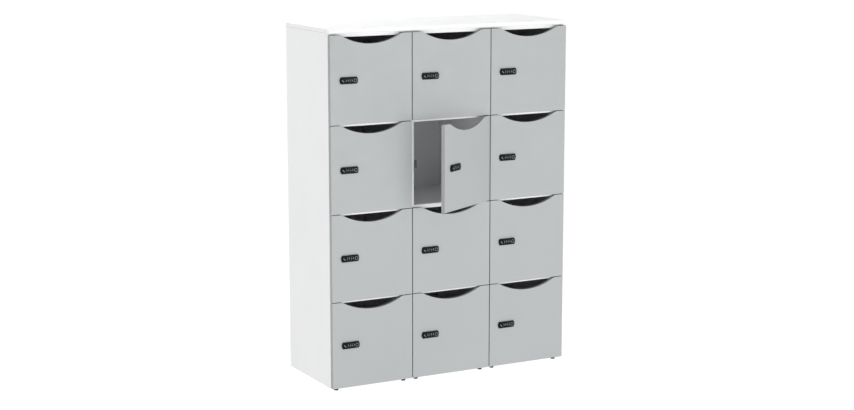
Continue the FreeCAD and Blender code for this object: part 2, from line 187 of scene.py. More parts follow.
@contextmanager
def shaping(piece: Piece, pick: Pick, chosen: Test) -> Iterator[None]:
    """Hold a piece in edit mode with only some of its faces or edges selected.

    Args:
        piece: The piece to shape.
        pick: Whether faces or edges are selected.
        chosen: Test of an element's middle and of its normal, or an edge's direction.

    Yields:
        Nothing. Operators in the block act on the selection.
    """
    take_up(piece)
    mesh = piece.data
    points = mesh.vertices
    for group in (points, mesh.edges, mesh.polygons):
        group.foreach_set("select", [False] * len(group))
    if pick is Pick.FACES:
        for face in mesh.polygons:
            face.select = chosen(face.center, face.normal)
    else:
        for edge in mesh.edges:
            first, last = (points[corner].co for corner in edge.vertices)
            edge.select = chosen((first + last) / 2, (last - first).normalized())
    bpy.context.tool_settings.mesh_select_mode = pick.value
    bpy.ops.object.mode_set(mode="EDIT")
    yield
    bpy.ops.object.mode_set(mode="OBJECT")


def round_off(piece: Piece, radius: float, steps: int, chosen: Test) -> Piece:
    """Bevel the chosen edges of a piece.

    Args:
        piece: The piece to shape.
        radius: Width of the bevel.
        steps: Number of flats across it.
        chosen: Test of an edge's middle and direction.

    Returns:
        The same piece.
    """
    with shaping(piece, Pick.EDGES, chosen):
        bpy.ops.mesh.bevel(offset=radius, segments=steps, profile=0.5, affect="EDGES")
    return piece


def runs_in(middle: Vector, way: Vector) -> bool:
    """Tell the edges that run from front to rear, or the faces that look that way."""
    return abs(way.y) > SAME_WAY


def flute(piece: Piece, middle: Vector, axis: Vector, count: int, share: float) -> Piece:
    """Draw every third edge along the rim of a round piece in towards its axis.

    Args:
        piece: The piece, with three flats for each flute.
        middle: A point on its axis.
        axis: Direction of the axis.
        count: Number of flutes.
        share: Radius in a flute, as a share of the rim's radius.

    Returns:
        The same piece.
    """
    across = axis.cross(ALONG_X)

    def in_flute(spot: Vector, way: Vector) -> bool:
        """Tell every third edge along the rim."""
        out = spot - middle
        angle = math.atan2(out.dot(across), out.x) / WHOLE_TURN * 3 * count
        return abs(way.dot(axis)) > SAME_WAY and round(angle) % 3 == 0

    with shaping(piece, Pick.EDGES, in_flute):
        sizes = [share + (1 - share) * part for part in axis]
        bpy.ops.transform.resize(value=sizes, center_override=middle)
    return piece


def step_in(piece: Piece, margin: float, depth: float, chosen: Test) -> Piece:
    """Inset the chosen faces of a piece and push them in or out.

    Args:
        piece: The piece to shape.
        margin: Width of the rim that is left.
        depth: How far the inner face moves outwards, or inwards if negative.
        chosen: Test of a face's middle and normal.

    Returns:
        The same piece.
    """
    with shaping(piece, Pick.FACES, chosen):
        bpy.ops.mesh.inset(thickness=margin, depth=0.0)
        bpy.ops.mesh.extrude_region_shrink_fatten(TRANSFORM_OT_shrink_fatten={"value": depth})
    return piece


def modify(piece: Piece, kind: str, **settings: object) -> Piece:
    """Add a modifier to a piece and apply it.

    Args:
        piece: The piece to change.
        kind: Blender's name for the modifier.
        settings: Values of the modifier.

    Returns:
        The same piece.
    """
    take_up(piece)
    modifier = piece.modifiers.new(kind.lower(), kind)
    for name, value in settings.items():
        setattr(modifier, name, value)
    bpy.ops.object.modifier_apply(modifier=modifier.name)
    return piece


def combine(piece: Piece, other: Piece, cut: Cut) -> Piece:
    """Cut one piece by another, or weld the other on, and drop the other.

    Args:
        piece: The piece that stays.
        other: The tool or the addition.
        cut: Whether the other is taken away or added.

    Returns:
        The piece that stays.
    """
    modify(piece, "BOOLEAN", operation=cut.value, solver="EXACT", object=other)
    bpy.data.objects.remove(other)
    return piece


def gather(piece: Piece, others: list[Piece]) -> Piece:
    """Join other pieces into one, each with its own shells and finishes.

    Args:
        piece: The piece that stays.
        others: The pieces that join it.

    Returns:
        The piece that stays.
    """
    take_up(piece)
    for other in others:
        other.select_set(True)
    bpy.ops.object.join()
    return piece


def ease(piece: Piece, width: float, steps: int = 2) -> Piece:
    """Break every sharp edge of a piece and shade its round stretches smooth.

    Args:
        piece: The piece to finish.
        width: Width of the broken edge.
        steps: Number of flats across it.

    Returns:
        The same piece.
    """
    modify(piece, "BEVEL", width=width, segments=steps, limit_method="ANGLE", angle_limit=SHARP_ANGLE)
    take_up(piece)
    bpy.ops.object.shade_smooth_by_angle(angle=SMOOTH_ANGLE)
    return piece


def copy_to(piece: Piece, name: str, place: Matrix) -> Piece:
    """Copy a piece with its own mesh and put the copy at a place.

    Args:
        piece: The piece that is copied.
        name: Name of the copy.
        place: Turn and place of the copy.

    Returns:
        The copy.
    """
    copy = bpy.data.objects.new(name, piece.data.copy())
    copy.data.transform(place)
    bpy.context.scene.collection.objects.link(copy)
    return copy


def smooth_copy(node: Piece, name: str, place: Matrix) -> Piece:
    """Copy a solid as one closed mesh, with smooth shading on its round stretches and none on its flats.

    Args:
        node: The solid, as loose triangles.
        name: Name of the copy.
        place: Turn and place of the copy.

    Returns:
        The copy.
    """
    copy = copy_to(node, name, place)
    take_up(copy)
    bpy.ops.object.mode_set(mode="EDIT")
    bpy.ops.mesh.select_all(action="SELECT")
    bpy.ops.mesh.remove_doubles(threshold=HAIR / 10)
    bpy.ops.mesh.dissolve_limited(angle_limit=FLAT_ANGLE)
    bpy.ops.object.mode_set(mode="OBJECT")
    bpy.ops.object.shade_smooth_by_angle(angle=FINE_SMOOTH_ANGLE)
    return modify(copy, "WEIGHTED_NORMAL", keep_sharp=True)


def coat(piece: Piece, finish: bpy.types.Material) -> Piece:
    """Give a piece one finish all over.

    Args:
        piece: The piece to finish.
        finish: Its material.

    Returns:
        The same piece.
    """
    piece.data.materials.clear()
    piece.data.materials.append(finish)
    return piece


# Finishes


class NodeBoard:
    """A node tree with short calls to add and link its nodes."""

    noise_low = 0.3
    noise_high = 0.7

    def __init__(self, tree: bpy.types.NodeTree) -> None:
        """Work on one tree."""
        self.tree = tree

    def add(self, kind: str, **settings: object) -> bpy.types.Node:
        """Add a node.

        Args:
            kind: Blender's name for the node.
            settings: Properties of the node.

        Returns:
            The new node.
        """
        node = self.tree.nodes.new(kind)
        for name, value in settings.items():
            setattr(node, name, value)
        return node

    def plug(self, socket: bpy.types.NodeSocket, value: object) -> None:
        """Link an input to another socket, or set it to a plain value.

        Args:
            socket: The input.
            value: A socket to link, or a plain value.
        """
        if isinstance(value, bpy.types.NodeSocket):
            self.tree.links.new(value, socket)
        else:
            socket.default_value = value

    def feed(self, node: bpy.types.Node, **inputs: object) -> bpy.types.Node:
        """Set or link a node's inputs by their names, with _ for each space.

        Args:
            node: The node to feed.
            inputs: A socket to link, or a plain value, for each input.

        Returns:
            The same node.
        """
        for name, value in inputs.items():
            self.plug(node.inputs[name.replace("_", " ")], value)
        return node

    def math(self, operation: str, *terms: object) -> bpy.types.NodeSocket:
        """Add a Math node.

        Args:
            operation: Blender's name for the operation.
            terms: Sockets or numbers, in the node's order.

        Returns:
            The node's output.
        """
        node = self.add("ShaderNodeMath", operation=operation)
        for socket, term in zip(node.inputs, terms):
            self.plug(socket, term)
        return node.outputs[0]

    def blend(self, share: bpy.types.NodeSocket, first: Paint, other: Paint) -> bpy.types.NodeSocket:
        """Mix two colours by a mask.

        Args:
            share: The mask, 0 for the first colour and 1 for the other.
            first: Colour where the mask is 0.
            other: Colour where the mask is 1.

        Returns:
            The mixed colour.
        """
        mix = self.add("ShaderNodeMix", data_type="RGBA")
        self.plug(mix.inputs["Factor"], share)
        for socket, colour in ((mix.inputs[6], first), (mix.inputs[7], other)):
            self.plug(socket, (*colour, 1.0) if isinstance(colour, tuple) else colour)
        return mix.outputs[2]

    def noise(self, where: bpy.types.NodeSocket, scale: object, detail: float) -> bpy.types.NodeSocket:
        """Add a noise texture.

        Args:
            where: Coordinates that it reads.
            scale: Its scale, as a socket or a number.
            detail: Its number of octaves.

        Returns:
            Its value, from 0 to 1.
        """
        node = self.add("ShaderNodeTexNoise")
        self.feed(node, Vector=where, Scale=scale, Detail=detail)
        return node.outputs["Fac"]

    def spread(self, value: bpy.types.NodeSocket, low: float, high: float) -> bpy.types.NodeSocket:
        """Map a noise value to a range.

        Args:
            value: The value, mostly between noise_low and noise_high.
            low: What noise_low becomes.
            high: What noise_high becomes.

        Returns:
            The mapped value.
        """
        node = self.add("ShaderNodeMapRange")
        self.feed(node, From_Min=self.noise_low, From_Max=self.noise_high)
        self.feed(node, To_Min=low, To_Max=high, Value=value)
        return node.outputs["Result"]

    def clamp(self, value: bpy.types.NodeSocket) -> bpy.types.NodeSocket:
        """Hold a value between 0 and 1."""
        return self.feed(self.add("ShaderNodeClamp"), Value=value).outputs["Result"]


def open_group(name: str, inputs: dict[str, str], outputs: tuple[str, ...]) -> tuple[NodeBoard, dict, dict]:
    """Start a shader node group with its sockets.

    Args:
        name: Name of the group.
        inputs: Kind of each input socket, by its name.
        outputs: Names of the float outputs.

    Returns:
        The board of the group's tree, its input sockets and its output sockets by name.
    """
    tree = bpy.data.node_groups.new(name, "ShaderNodeTree")
    for label, kind in inputs.items():
        tree.interface.new_socket(label, in_out="INPUT", socket_type=kind)
    for label in outputs:
        tree.interface.new_socket(label, in_out="OUTPUT", socket_type="NodeSocketFloat")
    board = NodeBoard(tree)
    entry = board.add("NodeGroupInput")
    leave = board.add("NodeGroupOutput")
    return board, {s.name: s for s in entry.outputs if s.name}, {s.name: s for s in leave.inputs if s.name}


class Effects:
    """Shader node groups that the finishes share."""

    grain_detail = 3.0
    tone_detail = 2.0
    smudge_detail = 4.0
    smudge_share = 3.7
    plane_margin = 0.0002
    plane_steepness = 5000.0

    def __init__(self) -> None:
        """Build each group once."""
        self.texture = self.fine_texture()
        self.between = self.between_planes()
        # painted shadow line for the seam under the top panel
        self.joint = self.level_joint()

    def fine_texture(self) -> bpy.types.NodeTree:
        """Build the group of a surface's fine grain, slow change of tone and handling marks.

        Returns:
            The group, with Height, Tone and Smudge as outputs.
        """
        inputs = {"Grain Scale": "NodeSocketFloat", "Cloud Scale": "NodeSocketFloat"}
        board, given, wanted = open_group("fine_texture", inputs, ("Height", "Tone", "Smudge"))
        where = board.add("ShaderNodeTexCoord").outputs["Object"]
        smudge_scale = board.math("MULTIPLY", given["Cloud Scale"], self.smudge_share)
        board.plug(wanted["Height"], board.noise(where, given["Grain Scale"], self.grain_detail))
        board.plug(wanted["Tone"], board.noise(where, given["Cloud Scale"], self.tone_detail))
        board.plug(wanted["Smudge"], board.noise(where, smudge_scale, self.smudge_detail))
        return board.tree

    def between_planes(self) -> bpy.types.NodeTree:
        """Build the group that tells two outer planes of a piece from what lies between them.

        Returns:
            The group, with Between as output: 0 on both planes and 1 between them.
        """
        inputs = {"Facing": "NodeSocketVector", "Middle": "NodeSocketFloat", "Half": "NodeSocketFloat"}
        board, given, wanted = open_group("between_planes", inputs, ("Between",))
        where = board.add("ShaderNodeTexCoord").outputs["Object"]
        along = board.add("ShaderNodeVectorMath", operation="DOT_PRODUCT")
        board.plug(along.inputs[0], where)
        board.plug(along.inputs[1], given["Facing"])
        away = board.math("SUBTRACT", along.outputs["Value"], given["Middle"])
        inside = board.math("SUBTRACT", given["Half"], board.math("ABSOLUTE", away))
        past = board.math("SUBTRACT", inside, self.plane_margin)
        board.plug(wanted["Between"], board.clamp(board.math("MULTIPLY", past, self.plane_steepness)))
        return board.tree

    @staticmethod
    def level_joint() -> bpy.types.NodeTree:
        """Build the group of the painted shadow line in a level joint between two boards, darker where
        shade falls in the seam.

        Returns:
            The group, with Line as output: 1 in the joint, falling to 0 beside it.
        """
        inputs = {"Level": "NodeSocketFloat", "Reach": "NodeSocketFloat"}
        board, given, wanted = open_group("level_joint", inputs, ("Line",))
        where = board.add("ShaderNodeTexCoord").outputs["Object"]
        parts = board.feed(board.add("ShaderNodeSeparateXYZ"), Vector=where)
        away = board.math("ABSOLUTE", board.math("SUBTRACT", parts.outputs["Z"], given["Level"]))
        half_reach = board.math("DIVIDE", given["Reach"], 2.0)
        near = board.math("SUBTRACT", 2.0, board.math("DIVIDE", away, half_reach))
        board.plug(wanted["Line"], board.clamp(near))
        return board.tree


@dataclass(frozen=True)
class Finish:
    """A plain finish: colour, gloss and fine texture."""

    name: str
    colour: Colour
    roughness: float
    metallic: float = 0.0
    specular: float = 0.5
    tone_swing: float = 0.04
    gloss_swing: float = 0.08
    grain_scale: float = 900.0
    grain_depth: float = 0.00002
    grain_strength: float = 0.15
    cloud_scale: float = 4.0

    def body_colour(self, board: NodeBoard, effects: Effects) -> Paint:
        """Give the colour before its change of tone: here the same all over."""
        return self.colour

    def material(self, effects: Effects) -> bpy.types.Material:
        """Build the finish as a material.

        Args:
            effects: The shared node groups.

        Returns:
            The new material.
        """
        made = bpy.data.materials.new(self.name)
        made.use_nodes = True
        made.diffuse_color = (*self.colour, 1.0)
        board = NodeBoard(made.node_tree)
        shader = made.node_tree.nodes["Principled BSDF"]
        board.feed(shader, Metallic=self.metallic, Specular_IOR_Level=self.specular)
        texture = board.add("ShaderNodeGroup", node_tree=effects.texture)
        board.feed(texture, Grain_Scale=self.grain_scale, Cloud_Scale=self.cloud_scale)
        tone = board.spread(texture.outputs["Tone"], 1 - self.tone_swing, 1 + self.tone_swing)
        shade = board.add("ShaderNodeVectorMath", operation="SCALE")
        board.feed(shade, Vector=self.body_colour(board, effects), Scale=tone)
        low, high = self.roughness - self.gloss_swing, self.roughness + self.gloss_swing
        gloss = board.spread(texture.outputs["Smudge"], low, high)
        bump = board.add("ShaderNodeBump")
        height = texture.outputs["Height"]
        board.feed(bump, Strength=self.grain_strength, Distance=self.grain_depth, Height=height)
        board.feed(shader, Base_Color=shade.outputs["Vector"], Roughness=gloss)
        board.feed(shader, Normal=bump.outputs["Normal"])
        return made


@dataclass(frozen=True)
class TwoToneFinish(Finish):
    """A finish with one shade on two outer planes of a piece and another shade between them."""

    between_colour: Colour = (0.4, 0.4, 0.4)
    facing: Place = (0.0, 1.0, 0.0)
    middle: float = 0.0
    half: float = 0.009

    def body_colour(self, board: NodeBoard, effects: Effects) -> bpy.types.NodeSocket:
        """Mix the shade of the planes and the shade between them.

        Args:
            board: The material's node board.
            effects: The shared node groups.

        Returns:
            The mixed colour.
        """
        between = board.add("ShaderNodeGroup", node_tree=effects.between)
        board.feed(between, Facing=self.facing, Middle=self.middle, Half=self.half)
        return board.blend(between.outputs["Between"], self.colour, self.between_colour)


@dataclass(frozen=True)
class JointedFinish(TwoToneFinish):
    """A finish of the carcass with a painted shadow line in the joint under the top panel."""

    joint_colour: Colour = (0.5, 0.5, 0.5)
    joint_level: float = 1.0
    joint_reach: float = 0.0008

    def body_colour(self, board: NodeBoard, effects: Effects) -> bpy.types.NodeSocket:
        """Draw the painted shadow line of the joint on the two tones of the boards.

        Args:
            board: The material's node board.
            effects: The shared node groups.

        Returns:
            The mixed colour.
        """
        joint = board.add("ShaderNodeGroup", node_tree=effects.joint)
        board.feed(joint, Level=self.joint_level, Reach=self.joint_reach)
        plain = super().body_colour(board, effects)
        return board.blend(joint.outputs["Line"], plain, self.joint_colour)


class Palette:
    """The finishes of this locker."""

    def __init__(self, effects: Effects) -> None:
        """Make every finish that doesn't depend on a piece's place."""
        self.effects = effects
        plain = (
            Finish("beech", (0.55, 0.36, 0.19), 0.6, tone_swing=0.12, cloud_scale=60.0),
            Finish("nickel_plate", (0.62, 0.61, 0.59), 0.28, metallic=1.0, cloud_scale=30.0),
            Finish("black_powder_coat", (0.016, 0.016, 0.017), 0.5, specular=0.3, grain_strength=0.4),
            Finish("grey_powder_coat", (0.11, 0.11, 0.113), 0.5, specular=0.3, grain_strength=0.4),
            Finish("black_casting", (0.006, 0.0078, 0.008), 0.42, specular=0.12, cloud_scale=40.0),
            Finish("black_moulding", (0.007, 0.0085, 0.009), 0.5, specular=0.12, cloud_scale=40.0),
            Finish("grey_nickel", (0.15, 0.15, 0.153), 0.5, metallic=1.0, cloud_scale=60.0),
            Finish("pale_ink", (0.46, 0.46, 0.455), 0.55, tone_swing=0.03, cloud_scale=80.0),
            Finish("grey_inlay", (0.29, 0.29, 0.292), 0.5, tone_swing=0.03, cloud_scale=80.0),
        )
        self.made = {finish.name: finish.material(effects) for finish in plain}

    def __getitem__(self, name: str) -> bpy.types.Material:
        """Give a material by its finish's name."""
        return self.made[name]

    def carcass_board(self, low: Vector, high: Vector) -> bpy.types.Material:
        """Make the white finish of the boards, with brighter edging on their front edges: partly the
        edging's own white and partly painted light that lifts the shade on the recessed edges.

        Args:
            low: Lowest corner of the carcass under the top panel.
            high: Highest corner of it.

        Returns:
            The new material.
        """
        finish = JointedFinish(
            "white_melamine_painted_edge_light",
            # white of the front edges: partly the edging's own white and partly painted light that lifts
            # the shade on the recessed edges
            (0.955, 0.96, 0.965),
            0.45,
            specular=0.4,
            tone_swing=0.01,
            between_colour=(0.865, 0.87, 0.876),
            middle=(low.y + high.y) / 2,
            half=(high.y - low.y) / 2,
            # painted shadow: a darker line where shade falls in the seam under the top panel
            joint_colour=(0.55, 0.555, 0.565),
            joint_level=high.z,
        )
        return finish.material(self.effects)

    def door_laminate(self, tag: str, facing: Vector, middle: float, half: float) -> bpy.types.Material:
        """Make the pale grey finish of one door, which knows where the door's faces lie.

        Args:
            tag: Row and column of the door.
            facing: Direction square to the door's faces.
            middle: Place of the door's middle along that direction.
            half: Half the door's thickness.

        Returns:
            The new material.
        """
        finish = TwoToneFinish(
            f"door_laminate_{tag}",
            (0.468, 0.489, 0.494),
            0.45,
            specular=0.4,
            tone_swing=0.012,
            between_colour=(0.358, 0.366, 0.368),
            facing=tuple(facing),
            middle=middle,
            half=half,
        )
        return finish.material(self.effects)


# Pieces of a lock


@dataclass
class LockCase:
    """Case of a lock with its wheel windows, key cylinder, through-body and clamp plate."""

    width: float = 0.086
    height: float = 0.030
    front: float = -0.0074
    door_face: float = -0.0014
    end_bulge: float = 0.005
    end_cuts: int = 16
    corner_width: float = 0.001
    front_radius: float = 0.0015
    panel_radius: float = 0.003
    panel_width: float = 0.0405
    panel_height: float = 0.0185
    panel_depth: float = 0.0008
    window_radius: float = 0.0094
    window_width: float = 0.0075
    body_width: float = 0.077
    body_height: float = 0.022
    body_rear: float = 0.02258
    door_thickness: float = 0.018
    clamp_thickness: float = 0.002
    spindle_bore: float = 0.00405
    axle_bore: float = 0.00155
    axle_half: float = 0.0206
    key_place: float = 0.0295
    key_radius: float = 0.0085
    key_proud: float = 0.0008
    key_length: float = 0.013
    key_rim: float = 0.0032
    key_step: float = 0.0006
    key_groove: float = 0.0005
    keyway_width: float = 0.0016
    keyway_height: float = 0.0064
    keyway_depth: float = 0.005
    mark_length: float = 0.0014
    mark_height: float = 0.0005
    mark_lift: float = 0.0001
    corner_steps: int = 5
    front_steps: int = 4
    rear_steps: int = 3
    round_sides: int = 64
    spindle_sides: int = 40
    axle_sides: int = 24
    broken_edge: float = 0.00015
    plate_edge: float = 0.0002

    def outline(self) -> Piece:
        """Model the plain case, whose ends bulge out between its level edges.

        Returns:
            The case, with its corners and the rim of its front rounded.
        """
        straight = self.width - 2 * self.end_bulge
        case = upright("lock_case", 0, straight, self.height, self.front, self.door_face)
        with shaping(case, Pick.EDGES, lambda middle, way: abs(way.z) > SAME_WAY):
            bpy.ops.mesh.subdivide(number_cuts=self.end_cuts)
        radius = ((self.height / 2) ** 2 + self.end_bulge ** 2) / (2 * self.end_bulge)
        for corner in case.data.vertices:
            bulge = math.sqrt(radius ** 2 - corner.co.z ** 2) - radius + self.end_bulge
            corner.co.x += math.copysign(bulge, corner.co.x)
        with shaping(case, Pick.FACES, runs_in):
            bpy.ops.mesh.dissolve_faces()
        level = self.height / 2 - HAIR

        def at_corner(middle: Vector, way: Vector) -> bool:
            """Tell the edges at the four corners."""
            return runs_in(middle, way) and abs(middle.z) > level

        round_off(case, self.corner_width, self.corner_steps, at_corner)
        rim = self.front + HAIR
        return round_off(case, self.front_radius, self.front_steps, lambda middle, way: middle.y < rim)

    def shell(self, wheel_places: list[float], knob_place: float) -> Piece:
        """Model the rounded case with its recess, windows and bores.

        Args:
            wheel_places: Places of the number wheels along the axle.
            knob_place: Place of the knob along the axle's direction.

        Returns:
            The case.
        """
        case = combine(self.outline(), self.body(), Cut.ONTO)
        combine(case, self.panel(), Cut.AWAY)
        for place in wheel_places:
            start = Vector((place - self.window_width / 2, 0, 0))
            window = rod("window", self.window_radius, start, self.window_width * ALONG_X, self.round_sides)
            combine(case, window, Cut.AWAY)
        axle_start = -self.axle_half * ALONG_X
        combine(case, rod("bore", self.axle_bore, axle_start, -2 * axle_start, self.axle_sides), Cut.AWAY)
        through = (self.body_rear - self.front + 2 * OVERRUN) * ALONG_Y
        start = Vector((knob_place, self.front - OVERRUN, 0))
        combine(case, rod("bore", self.spindle_bore, start, through, self.spindle_sides), Cut.AWAY)
        start = Vector((self.key_place, self.front - OVERRUN, 0))
        depth = (self.key_length - self.key_proud + OVERRUN) * ALONG_Y
        combine(case, rod("bore", self.key_radius + HAIR, start, depth, self.round_sides), Cut.AWAY)
        return ease(case, self.broken_edge)

    def panel(self) -> Piece:
        """Model the cutter of the shallow recess round the number wheels."""
        floor = self.front + self.panel_depth
        cutter = upright("panel", 0, self.panel_width, self.panel_height, self.front - OVERRUN, floor)
        return round_off(cutter, self.panel_radius, self.corner_steps, runs_in)

    def body(self) -> Piece:
        """Model the body that passes through the door, sunk a little into the case."""
        front = self.door_face - OVERRUN
        body = upright("lock_body", 0, self.body_width, self.body_height, front, self.body_rear)
        rear = self.body_rear - HAIR
        return round_off(body, self.front_radius / 2, self.rear_steps, lambda middle, way: middle.y > rear)

    def clamp(self) -> Piece:
        """Model the plate behind the door that clamps the case.

        Returns:
            The plate.
        """
        near = self.door_face + self.door_thickness
        far = near + self.clamp_thickness
        plate = upright("clamp_plate", 0, self.width, self.height, near, far)
        round_off(plate, self.panel_radius, self.corner_steps, runs_in)
        width, height = self.body_width + 4 * HAIR, self.body_height + 4 * HAIR
        combine(plate, upright("opening", 0, width, height, near - OVERRUN, far + OVERRUN), Cut.AWAY)
        return ease(plate, self.plate_edge)

    def key_cylinder(self, palette: Palette) -> Piece:
        """Model the grey ring, the dark plug and the keyway of the master key cylinder.

        Args:
            palette: The locker's finishes.

        Returns:
            The cylinder, finished.
        """
        face = self.front - self.key_proud
        start = Vector((self.key_place, face, 0))
        along = self.key_length * ALONG_Y
        cylinder = rod("key_cylinder", self.key_radius - HAIR, start, along, self.round_sides)

        def front_cap(middle: Vector, way: Vector) -> bool:
            """Tell the innermost front face."""
            near = (middle - self.key_place * ALONG_X).xz.length < HAIR
            return near and way.y < -SAME_WAY and middle.y < face + self.key_proud

        step_in(cylinder, self.key_rim, -self.key_step, front_cap)
        step_in(cylinder, self.key_groove, self.key_step / 2, front_cap)
        width, height = self.keyway_width, self.keyway_height
        keyway = upright("keyway", self.key_place, width, height, face - OVERRUN, face + self.keyway_depth)
        combine(cylinder, keyway, Cut.AWAY)
        coat(ease(cylinder, self.broken_edge), palette["grey_nickel"])
        cylinder.data.materials.append(palette["black_casting"])
        for facet in cylinder.data.polygons:
            off = (facet.center - start).xz.length
            facet.material_index = int(off < self.key_radius - self.key_rim - HAIR)
        return cylinder

    def index_marks(self) -> Piece:
        """Model the two short lines beside the wheels that the numbers are read against."""
        made = []
        level = self.front + self.panel_depth
        for side in (-1, 1):
            reach = side * (self.panel_width / 2 - self.mark_length)
            front, rear = level - self.mark_lift, level + self.mark_lift
            mark = upright("index_mark", reach, self.mark_length, self.mark_height, front, rear)
            made.append(ease(mark, self.mark_lift / 3, 1))
        return gather(made[0], made[1:])

    def build(self, palette: Palette, wheel_places: list[float], knob_place: float) -> Piece:
        """Model and finish the whole case.

        Args:
            palette: The locker's finishes.
            wheel_places: Places of the number wheels along the axle.
            knob_place: Place of the knob along the axle's direction.

        Returns:
            The case, in the lock's own frame.
        """
        case = coat(self.shell(wheel_places, knob_place), palette["black_casting"])
        clamp = coat(self.clamp(), palette["black_powder_coat"])
        key = self.key_cylinder(palette)
        marks = coat(self.index_marks(), palette["pale_ink"])
        return gather(case, [clamp, key, marks])


@dataclass
class LockKnob:
    """Thumb turn of a lock, with its spindle, cam and cam screw."""

    place: float = -0.032
    back: float = -0.0077
    radius: float = 0.0105
    flange: float = 0.002
    edge_radius: float = 0.0008
    flute_count: int = 24
    flute_share: float = 0.965
    dish_rim: float = 0.0008
    dish_depth: float = 0.0005
    grip_width: float = 0.0055
    grip_length: float = 0.017
    grip_height: float = 0.003
    grip_degrees: float = 45.0
    grip_radius: float = 0.0012
    inlay_width: float = 0.0028
    inlay_length: float = 0.0135
    inlay_lift: float = 0.00008
    spindle_radius: float = 0.004
    spindle_end_radius: float = 0.003
    cam_front: float = 0.02458
    cam_width: float = 0.012
    cam_length: float = 0.035
    cam_thickness: float = 0.0025
    screw_radius: float = 0.005
    screw_height: float = 0.0025
    screw_edge: float = 0.0003
    recess_length_share: float = 0.6
    recess_width_share: float = 0.12
    rim_steps: int = 3
    grip_steps: int = 6
    front_steps: int = 4
    inlay_steps: int = 5
    cam_steps: int = 8
    round_sides: int = 32
    broken_edge: float = 0.00012
    plate_edge: float = 0.0002

    @property
    def seat(self) -> Vector:
        """Middle of the back of the flange."""
        return Vector((self.place, self.back, 0))

    @property
    def top(self) -> float:
        """Depth of the front of the grip bar."""
        return self.back - self.flange - self.grip_height

    def flange_disc(self) -> Piece:
        """Model the fluted disc with its dished face.

        Returns:
            The disc.
        """
        disc = rod("lock_knob", self.radius, self.seat, -self.flange * ALONG_Y, 3 * self.flute_count)
        flute(disc, self.seat, ALONG_Y, self.flute_count, self.flute_share)
        front = self.back - self.flange
        round_off(disc, self.edge_radius, self.rim_steps, lambda middle, way: middle.y < front + HAIR)
        cap = Vector((self.place, front, 0))

        def is_cap(middle: Vector, way: Vector) -> bool:
            """Tell the flat face in front."""
            return (middle - cap).length < HAIR

        return step_in(disc, self.dish_rim, -self.dish_depth, is_cap)

    def turned(self, piece: Piece) -> Piece:
        """Turn a piece of the grip about the knob's axis to its slant at rest.

        Args:
            piece: The piece, modelled upright.

        Returns:
            The same piece.
        """
        turn = Matrix.Rotation(math.radians(-self.grip_degrees), 4, "Y")
        piece.matrix_world = Matrix.Translation(self.seat) @ turn @ Matrix.Translation(-self.seat)
        return settle(piece)

    def grip(self) -> Piece:
        """Model the rounded bar across the disc.

        Returns:
            The bar.
        """
        rear = self.back - self.flange / 2
        bar = upright("grip", self.place, self.grip_width, self.grip_length, self.top, rear)
        round_off(bar, self.grip_width / 2 - HAIR, self.grip_steps, runs_in)
        front = self.top + HAIR
        round_off(bar, self.grip_radius, self.front_steps, lambda middle, way: middle.y < front)
        return self.turned(bar)

    def inlay(self) -> Piece:
        """Model the grey line along the grip.

        Returns:
            The line, round at both ends.
        """
        front, rear = self.top - self.inlay_lift, self.top + self.inlay_lift
        line = upright("inlay", self.place, self.inlay_width, self.inlay_length, front, rear)
        round_off(line, self.inlay_width / 2 - HAIR, self.inlay_steps, runs_in)
        return self.turned(ease(line, self.inlay_lift / 2, 1))

    def spindle(self) -> Piece:
        """Model the stepped spindle that passes through the lock.

        Returns:
            The spindle.
        """
        start = self.seat - self.flange / 2 * ALONG_Y
        reach = (self.cam_front - start.y) * ALONG_Y
        bar = rod("spindle", self.spindle_radius, start, reach, self.round_sides)
        end = self.cam_front - HAIR
        rim = self.spindle_radius - self.spindle_end_radius
        return step_in(bar, rim, self.cam_thickness, lambda middle, way: middle.y > end)

    def cam(self) -> Piece:
        """Model the round-ended cam, which hangs down when the lock is open.

        Returns:
            The cam.
        """
        half = Vector((self.cam_width / 2, 0, 0))
        front = Vector((self.place, self.cam_front, 0))
        low = front - half - self.cam_length * UP
        high = front + half + self.cam_thickness * ALONG_Y + self.cam_width / 2 * UP
        plate = block("cam", low, high)
        near_top = high.z - HAIR

        def at_top(middle: Vector, way: Vector) -> bool:
            """Tell the edges at the two upper corners."""
            return runs_in(middle, way) and middle.z > near_top

        round_off(plate, self.cam_width / 2 - HAIR, self.cam_steps, at_top)
        start = front - OVERRUN * ALONG_Y
        through = (self.cam_thickness + 2 * OVERRUN) * ALONG_Y
        hole = rod("bore", self.spindle_end_radius + HAIR, start, through, self.round_sides)
        return ease(combine(plate, hole, Cut.AWAY), self.plate_edge)

    def cam_screw(self) -> Piece:
        """Model the screw head with its cross recess.

        Returns:
            The screw head.
        """
        rear = self.cam_front + self.cam_thickness
        start = Vector((self.place, rear, 0))
        head = rod("cam_screw", self.screw_radius, start, self.screw_height * ALONG_Y, self.round_sides)
        end = rear + self.screw_height
        length = 2 * self.recess_length_share * self.screw_radius
        width = 2 * self.recess_width_share * self.screw_radius
        half = self.screw_height / 2
        for across, height in ((length, width), (width, length)):
            combine(head, upright("recess", self.place, across, height, end - half, end + half), Cut.AWAY)
        return ease(head, self.screw_edge)

    def build(self, palette: Palette) -> Piece:
        """Model and finish the whole thumb turn.

        Args:
            palette: The locker's finishes.

        Returns:
            The knob, in the lock's own frame.
        """
        knob = combine(self.flange_disc(), self.grip(), Cut.ONTO)
        knob = ease(combine(knob, self.spindle(), Cut.ONTO), self.broken_edge)
        coat(knob, palette["black_casting"])
        inlay = coat(self.inlay(), palette["grey_inlay"])
        cam = coat(self.cam(), palette["nickel_plate"])
        screw = coat(self.cam_screw(), palette["nickel_plate"])
        return gather(knob, [inlay, cam, screw])


